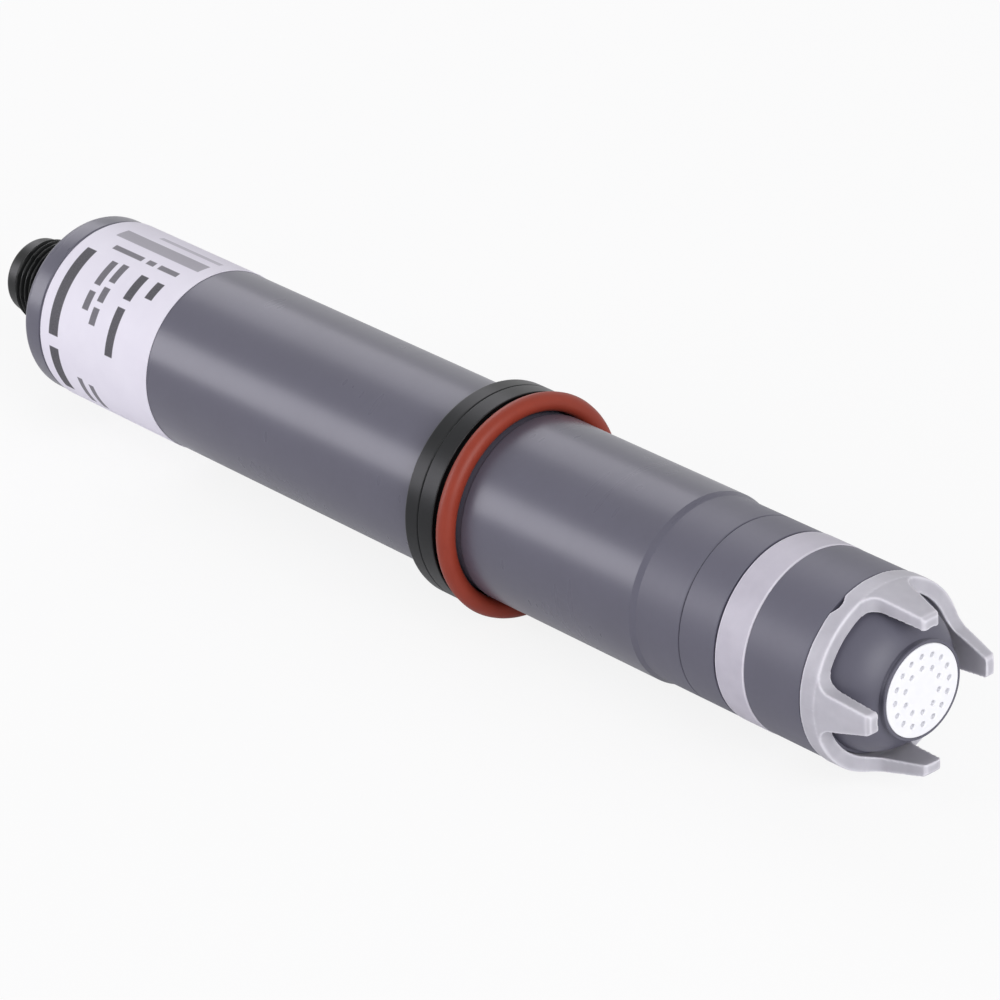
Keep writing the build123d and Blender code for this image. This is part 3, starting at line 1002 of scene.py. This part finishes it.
membrane_cap = turned(
    "membrane_cap_turned",
    soften(
        [
            (mouth_rear, mouth_pocket_radius, fine_edge),
            (mouth_rear, neck_radius, rim_edge),
            (band_groove_rear, neck_radius, band_groove_edge),
            (band_groove_rear, band_floor, fine_edge),
            (band_groove_front, band_floor, fine_edge),
            (band_groove_front, neck_radius, band_groove_edge),
            (guard_step, neck_radius, rim_edge),
            (guard_step, guard_seat_radius, fine_edge),
            (guard_seat_front, guard_seat_radius, fine_edge),
            (guard_seat_front, cone_rear_radius + 0.05 * MM, 0),
        ]
        + cone_points()
        + [
            (lip_rear, tip_neck_radius, tip_neck_round),
            (lip_rear + lip_slope, lip_radius, lip_edge),
            (tip_front, lip_radius, soft_edge),
            (tip_front, disc_seat, disc_seat_edge),
            (stack_rear, disc_seat, 0),
            (stack_rear, port_radius, 0),
            (port_rear, port_radius, 0),
            (chamber_front, chamber_radius, 0),
            (mouth_pocket_front, chamber_radius, fine_edge),
            (mouth_pocket_front, mouth_pocket_radius, fine_edge),
        ]
    ),
)
dress(membrane_cap, grey_pvc, "membrane_head", "grey_pvc", "membrane_cap")

band_bore = band_floor + press_gap
band_round = 0.22 * MM
soft_bend = 0.3 * MM
band = turned(
    "vent_band_silicone",
    soften(
        [
            (band_rear, band_bore, fine_edge),
            (band_rear, band_radius, band_round),
            (band_front, band_radius, band_round),
            (band_front, band_bore, fine_edge),
        ]
    ),
)
mark_edges(band, soft_bend)
dress(band, band_silicone, "membrane_head", "clear_silicone", "vent_band")

# Membrane cover: a disc with two rings of countersunk holes
cover_rear, cover_front = rear_of("membrane_cover"), front_of("membrane_cover")
cover_radius = radius_of("membrane_cover")
cover_edge = 0.14 * MM
cover_disc = turned(
    "membrane_cover_disc",
    soften(
        [
            (cover_rear, 0, 0),
            (cover_rear, cover_radius, fine_edge),
            (cover_front, cover_radius, cover_edge),
            (cover_front, 0, 0),
        ]
    ),
    turns=SMALL_TURNS,
)
hole_radius = 0.35 * MM
countersink = 0.1 * MM
punch_rear, punch_front = cover_rear - 0.2 * MM, cover_front + countersink
punch = turned(
    "hole_punch",
    [
        (punch_rear, 0),
        (punch_rear, hole_radius),
        (cover_front - countersink, hole_radius),
        (punch_front, hole_radius + 2 * countersink),
        (punch_front, 0),
    ],
    turns=PUNCH_TURNS,
)
holes = Rule("perforation")
holes.size("Outer ring", 4.5 * MM)
holes.size("Inner ring", 2.9 * MM)
holes.size("Outer holes", 16)
holes.size("Inner holes", 10)
holes.declare("Punch", "NodeSocketObject", punch)
perforated = holes.take("Geometry")
for ring in ("Outer", "Inner"):
    punches = holes.ring_of(holes.shape_of("Punch"), holes.take(ring + " holes"), holes.take(ring + " ring"))
    perforated = holes.cut(perforated, holes.real(punches))
cover_disc = holes.run(cover_disc, perforated, membrane_white)
put_away(punch)
dress(cover_disc, membrane_white, "membrane_head", "white_membrane", "membrane_cover")

# Guard: a ring with prongs and two prising notches, in one moulded skin
guard_radius = 12.3 * MM
guard_bore = guard_seat_radius + 0.06 * MM
guard_edge = 0.1 * MM
guard_front_edge = 0.2 * MM
prong_front = front_of("membrane_guard")
prong_length = prong_front - guard_front
prong_root_radius = guard_radius - press_gap
prong_tip_radius = 10.75 * MM
prong_tip_bore = 9.0 * MM
prong_sunk = 1.2 * MM
prong_slope_rear = guard_front - 0.5 * MM
prong_bow = 1.08
root_half = 2.8 * MM
root_round = 1.6 * MM
tip_half = 1.3 * MM
tip_round = 0.4 * MM
tip_chamfer = 0.5 * MM
notch_radius = 1.7 * MM
notch_station = guard_rear + 0.6 * MM - notch_radius
notch_angle = 28 * DEG
notch_bottom, notch_top = 9 * MM, 14 * MM
skin_voxel = 0.15 * MM
wave_depth = 0.05 * MM
wave_length = 1.3 * MM


def rounding(size, reach):
    """How far a rounding of that size stands back at a distance from its start."""
    return size - math.sqrt(max(0.0, size**2 - (size - max(0.0, reach)) ** 2))


def prong_half_width(x):
    """Half the width of a prong at a station, with the flare at its root and the rounding at its tip."""
    half = root_half + (tip_half - root_half) * max(0.0, (x - guard_front) / prong_length)
    if x - guard_front < root_round:
        half += rounding(root_round, x - guard_front)
    if prong_front - x < tip_round:
        half -= rounding(tip_round, prong_front - x)
    return half


def prong_radii(x):
    """The outer and inner radius of a prong at a station."""
    inner = guard_bore + (prong_tip_bore - guard_bore) * max(0.0, x - guard_front) / prong_length
    slope_end = prong_front - tip_chamfer
    if x > slope_end:
        return prong_tip_radius - (x - slope_end), inner
    rise = min(1.0, max(0.0, x - prong_slope_rear) / (slope_end - prong_slope_rear))
    return prong_root_radius + (prong_tip_radius - guard_radius) * rise**prong_bow, inner


def make_prong(name, across=10, root_steps=8, straight_steps=14, tip_steps=6):
    """One prong on top of the ring, as a closed loft of sections along the axis."""
    root_front = guard_front + root_round
    straight = prong_front - root_front
    stations = [guard_front - prong_sunk, guard_front - guard_edge]
    stations += [guard_front + root_round * step / root_steps for step in range(root_steps + 1)]
    stations += [root_front + straight * step / straight_steps for step in range(1, straight_steps - 1)]
    stations += [prong_front - tip_chamfer * (1 - step / tip_steps) for step in range(tip_steps + 1)]
    mesh = bmesh.new()
    sections = []
    for x in sorted(set(stations)):
        half = prong_half_width(x)
        outer, inner = prong_radii(x)
        offsets = [half * (2 * step / across - 1) for step in range(across + 1)]
        ring = [mesh.verts.new((x, y, math.sqrt(outer**2 - y**2))) for y in offsets]
        ring += [mesh.verts.new((x, y, math.sqrt(inner**2 - y**2))) for y in reversed(offsets)]
        sections.append(ring)
    return lofted(name, mesh, sections)


def make_notch(name, count=32):
    """A round bar that stands out from the axis, to cut one notch."""
    mesh = bmesh.new()
    angles = [2 * math.pi * step / count for step in range(count)]
    places = [
        (notch_station + notch_radius * math.cos(angle), notch_radius * math.sin(angle)) for angle in angles
    ]
    sections = [[mesh.verts.new((x, y, z)) for x, y in places] for z in (notch_bottom, notch_top)]
    return lofted(name, mesh, sections)


guard_ring = turned(
    "guard_moulded",
    soften(
        [
            (guard_rear, guard_bore, guard_edge),
            (guard_rear, guard_radius, soft_edge),
            (guard_front, guard_radius, guard_front_edge),
            (guard_front, guard_bore, guard_edge),
        ]
    ),
)
prong = make_prong("prong_pattern")
notch = make_notch("notch_pattern")
notch.data.transform(Matrix.Rotation(notch_angle, 4, "X"))
crown = Rule("crown_of_prongs")
crown.size("Prongs", 4)
crown.size("Notches", 2)
crown.declare("Prong", "NodeSocketObject", prong)
crown.declare("Notch", "NodeSocketObject", notch)
notches = crown.real(crown.ring_of(crown.shape_of("Notch"), crown.take("Notches")))
notched = crown.cut(crown.take("Geometry"), notches)
prongs = crown.ring_of(crown.shape_of("Prong"), crown.take("Prongs"))
guard = crown.run(guard_ring, crown.joined(notched, prongs), guard_plastic)
put_away(prong, notch)
skin = guard.modifiers.new("skin", "REMESH")
skin.mode = "VOXEL"
skin.voxel_size = skin_voxel
skin.use_smooth_shade = True
ease = guard.modifiers.new("ease", "SMOOTH")
ease.factor = 0.5
ease.iterations = 4
guard = settled(guard, SOFT_CREASE)
ripple(guard, wave_depth, wave_length)
mark_edges(guard, soft_bend)
dress(guard, guard_plastic, "guard", "guard_plastic", "membrane_guard")

# Boards, chips and what else the housing hides
paint(laminate, "contact_board", "circuit_board")
paint(chip_epoxy, "isolation_module", "converter_chip", "amplifier_chip")
paint(can_metal, "filter_capacitor")
paint(copper_wire, "working_lead", "reference_lead")
paint(black_rubber, "connector_seal", "end_cap_seal", "carrier_seal", "cap_seal", "membrane_gasket")
paint(gold_plate, "working_electrode", *[f"contact_pin_{number}" for number in range(1, 6)])
paint(silver_sleeve, "reference_electrode")
paint(grey_pvc, "electrode_carrier")
paint(membrane_white, "membrane")

# Camera at the photograph's angle
camera_data = bpy.data.cameras.new("camera")
camera_data.lens = 194.61
camera_data.sensor_width = 36.0
camera_data.clip_start = 0.01
camera_data.clip_end = 20.0
camera = bpy.data.objects.new("camera", camera_data)
camera_place = Vector((462.7, -393.12, 309.29)) * MM
camera_right = Vector((0.65974, 0.74994, -0.04831))
camera_up = Vector((-0.31143, 0.33135, 0.89063))
camera_back = Vector((0.68393, -0.57253, 0.45216))
camera_turn = Matrix((camera_right, camera_up, camera_back)).transposed().to_4x4()
camera.matrix_world = Matrix.Translation(camera_place) @ camera_turn
bpy.context.scene.collection.objects.link(camera)
bpy.context.scene.camera = camera


def backdrop_share(board, camera, glossy, transmission):
    """How much of the plain white a ray sees, by the kind of ray it is."""
    rays = board.node("ShaderNodeLightPath", {}, {}, "Is Camera Ray")
    share = board.maths("MAXIMUM", rays * camera, rays.other("Is Glossy Ray") * glossy)
    return board.maths("MAXIMUM", share, rays.other("Is Transmission Ray") * transmission)


# Floor: near white to the camera, duller in reflections, with the object's shadow kept
floor_reach = 4.0
floor_mesh = bmesh.new()
floor_place = Matrix.Translation((0, 0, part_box("seat_seal")[0].z))
bmesh.ops.create_grid(floor_mesh, x_segments=1, y_segments=1, size=floor_reach, matrix=floor_place)
floor_data = bpy.data.meshes.new("floor")
floor_mesh.to_mesh(floor_data)
floor_mesh.free()
floor = bpy.data.objects.new("floor", floor_data)
bpy.context.scene.collection.objects.link(floor)

paper = Finish("floor_paper")
sheet = paper.mix(paper.noise(30 * MM, 2.0), shade(243, 243, 244), shade(247, 247, 248))
diffuse = paper.node("ShaderNodeBsdfDiffuse", {}, {"Color": sheet})
white = paper.node("ShaderNodeEmission", {}, {"Color": (1, 1, 1, 1), "Strength": 1.0})
white_share, mirrored_share = 0.86, 0.3
seen = backdrop_share(paper, white_share, mirrored_share, white_share)
mixed = paper.node("ShaderNodeMixShader", {}, {0: seen, 1: diffuse, 2: white})
paper.node("ShaderNodeOutputMaterial", {}, {"Surface": mixed})
floor.data.materials.append(paper.material)

# Air: white where it is seen, and dimmer where it only lights the probe
ambient = 0.34
world = bpy.data.worlds.new("studio")
bpy.context.scene.world = world
world.use_nodes = True
air = Board(world.node_tree)
air.tree.nodes.clear()
strength = ambient + backdrop_share(air, 1.0, 1.0, 1.0) * (1.0 - ambient)
sky = air.node("ShaderNodeBackground", {}, {"Color": (1, 1, 1, 1), "Strength": strength})
air.node("ShaderNodeOutputWorld", {}, {"Surface": sky})


# Lamps
middle = (cad_box[0] + cad_box[1]) / 2


def softbox(name, way, across, distance, width, length, glow, tint=(1, 1, 1)):
    """A soft lamp that looks at the probe's middle and is that many times as bright as the backdrop."""
    data = bpy.data.lights.new(name, "AREA")
    data.shape = "RECTANGLE"
    data.size = width
    data.size_y = length
    data.energy = glow * math.pi * width * length
    data.color = tint
    way = Vector(way).normalized()
    side = Vector(across)
    side = (side - way * side.dot(way)).normalized()
    turn = Matrix((side, way.cross(side), way)).transposed().to_4x4()
    lamp = bpy.data.objects.new(name, data)
    lamp.matrix_world = Matrix.Translation(middle + way * distance) @ turn
    bpy.context.scene.collection.objects.link(lamp)


def band_box(name, first, last, glow, distance=1.2, length=0.8, tint=(0.95, 0.93, 1.0)):
    """A soft lamp that shows on the shaft as a band between two angles, seen from the camera."""
    ways = []
    for angle in (first * DEG, last * DEG):
        normal = about(0, 1, angle)
        ways.append(2 * normal.dot(camera_back) * normal - camera_back)
    width = 2 * distance * math.tan(ways[0].angle(ways[1]) / 2)
    softbox(name, ways[0] + ways[1], ways[1] - ways[0], distance, width, length, glow, tint)


band_box("side_box", 52, 68, 5.0)
band_box("top_box", 0.5, 21.5, 2.0)
softbox("front_box", (0.9, -0.25, 0.45), (0, 1, 0), 1.4, 0.9, 0.9, 5.4)

bpy.context.scene.view_settings.view_transform = "Standard"
